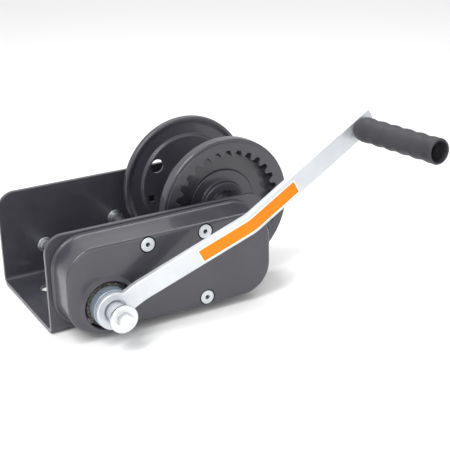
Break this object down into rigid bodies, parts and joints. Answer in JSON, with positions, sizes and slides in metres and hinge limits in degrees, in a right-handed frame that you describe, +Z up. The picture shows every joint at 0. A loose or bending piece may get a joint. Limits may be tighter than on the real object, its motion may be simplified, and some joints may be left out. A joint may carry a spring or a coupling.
{
  "type": "boat trailer winch",
  "caption": "Hand-cranked trailer winch: folded steel frame, two-flange drum with an internal ring gear, covered gear train with friction brake, and a cranked handle with turning grip.",
  "frame": {"origin": "centre of the base's underside", "axes": "+Z up; +X along the frame from the crank end to the drum end; -Y the crank and gear cover side"},
  "size_m": [0.3755, 0.373, 0.2162],
  "materials": {
    "coated_steel": "satin charcoal powder coat",
    "zinc": "bright zinc plate",
    "steel": "oiled machined steel",
    "bronze": "sintered bronze",
    "lining": "granular friction lining",
    "grip_plastic": "moulded plastic, fine texture",
    "label": "printed film, blank"
  },
  "bodies": {
    "root": {"frame": "coated_steel", "gear_cover": "coated_steel", "cover_screw_1": "zinc", "cover_screw_2": "zinc", "cover_screw_3": "zinc", "cover_standoff_1": "steel", "cover_standoff_2": "steel", "cover_standoff_3": "steel", "drive_bush_near": "zinc", "drive_bush_far": "zinc", "cross_bush_near": "zinc", "cross_bush_far": "zinc", "countershaft_bush": "bronze", "idler_stud": "steel", "idler_clip": "steel", "pawl_pin": "steel", "pawl_spring": "steel", "pawl_clip": "steel", "axle_bolt": "zinc", "axle_washer": "zinc", "axle_nut": "zinc", "axle_tube": "zinc"},
    "drum": {"drum_barrel": "coated_steel", "far_flange": "coated_steel", "ring_gear_flange": "coated_steel", "drum_bush_near": "steel", "drum_bush_far": "steel"},
    "countershaft": {"countershaft": "steel", "countershaft_gear": "steel", "countershaft_pinion": "steel"},
    "cross_shaft": {"cross_shaft": "zinc", "cross_idler_gear": "steel", "cross_shaft_clip": "steel"},
    "stud_idler": {"stud_idler_gear": "steel"},
    "drive_shaft": {"drive_shaft": "zinc", "drive_pinion": "steel", "brake_collar": "steel", "inner_friction_disc": "lining", "drive_shaft_clip": "steel", "cap_washer": "zinc", "cap_bolt": "zinc"},
    "ratchet": {"ratchet_wheel": "steel"},
    "pawl": {"pawl": "steel"},
    "pressure_disc": {"outer_friction_disc": "lining"},
    "crank": {"crank_arm": "zinc", "pressure_hub": "zinc", "grip_stud": "zinc"},
    "grip": {"grip": "grip_plastic"}
  },
  "joints": [
    {"name": "drum_spin", "type": "hinge", "parent": "root", "child": "drum", "pos_m": [0.0996, 0, 0.0942], "axis": [0, -1, 0], "continuous": true},
    {"name": "countershaft_spin", "type": "hinge", "parent": "root", "child": "countershaft", "pos_m": [0.0697, 0, 0.0576], "axis": [0, -1, 0], "continuous": true},
    {"name": "cross_shaft_spin", "type": "hinge", "parent": "root", "child": "cross_shaft", "pos_m": [0.0112, 0, 0.056], "axis": [0, -1, 0], "continuous": true},
    {"name": "stud_idler_spin", "type": "hinge", "parent": "root", "child": "stud_idler", "pos_m": [-0.0413, 0, 0.0561], "axis": [0, -1, 0], "continuous": true},
    {"name": "drive_shaft_spin", "type": "hinge", "parent": "root", "child": "drive_shaft", "pos_m": [-0.0817, 0, 0.04], "axis": [0, -1, 0], "continuous": true},
    {"name": "ratchet_spin", "type": "hinge", "parent": "root", "child": "ratchet", "pos_m": [-0.0817, 0, 0.04], "axis": [0, -1, 0], "continuous": true},
    {"name": "pawl_swing", "type": "hinge", "parent": "root", "child": "pawl", "pos_m": [-0.106, 0, 0.088], "axis": [0, -1, 0], "range_deg": [0, 20], "stiffness_Nm_per_rad": 0.05, "springref_deg": -17.19},
    {"name": "pressure_slide", "type": "slide", "parent": "drive_shaft", "child": "pressure_disc", "axis": [0, -1, 0], "range_m": [0, 0.000666]},
    {"name": "crank_backoff", "type": "hinge", "parent": "pressure_disc", "child": "crank", "pos_m": [-0.0817, 0, 0.04], "axis": [0, -1, 0], "range_deg": [0, 60]},
    {"name": "grip_spin", "type": "hinge", "parent": "crank", "child": "grip", "pos_m": [0.21695, -0.15094, 0.19613], "axis": [0.0794, -0.996, 0.0415], "continuous": true}
  ],
  "couplings": [
    {"joint": "countershaft_spin", "follows": "drum_spin", "ratio": 3.625},
    {"joint": "cross_shaft_spin", "follows": "drum_spin", "ratio": -5.2109},
    {"joint": "stud_idler_spin", "follows": "drum_spin", "ratio": 4.3882},
    {"joint": "drive_shaft_spin", "follows": "drum_spin", "ratio": -8.3375},
    {"joint": "crank_backoff", "follows": "pressure_slide", "rad_per_m": 1570.8}
  ]
}
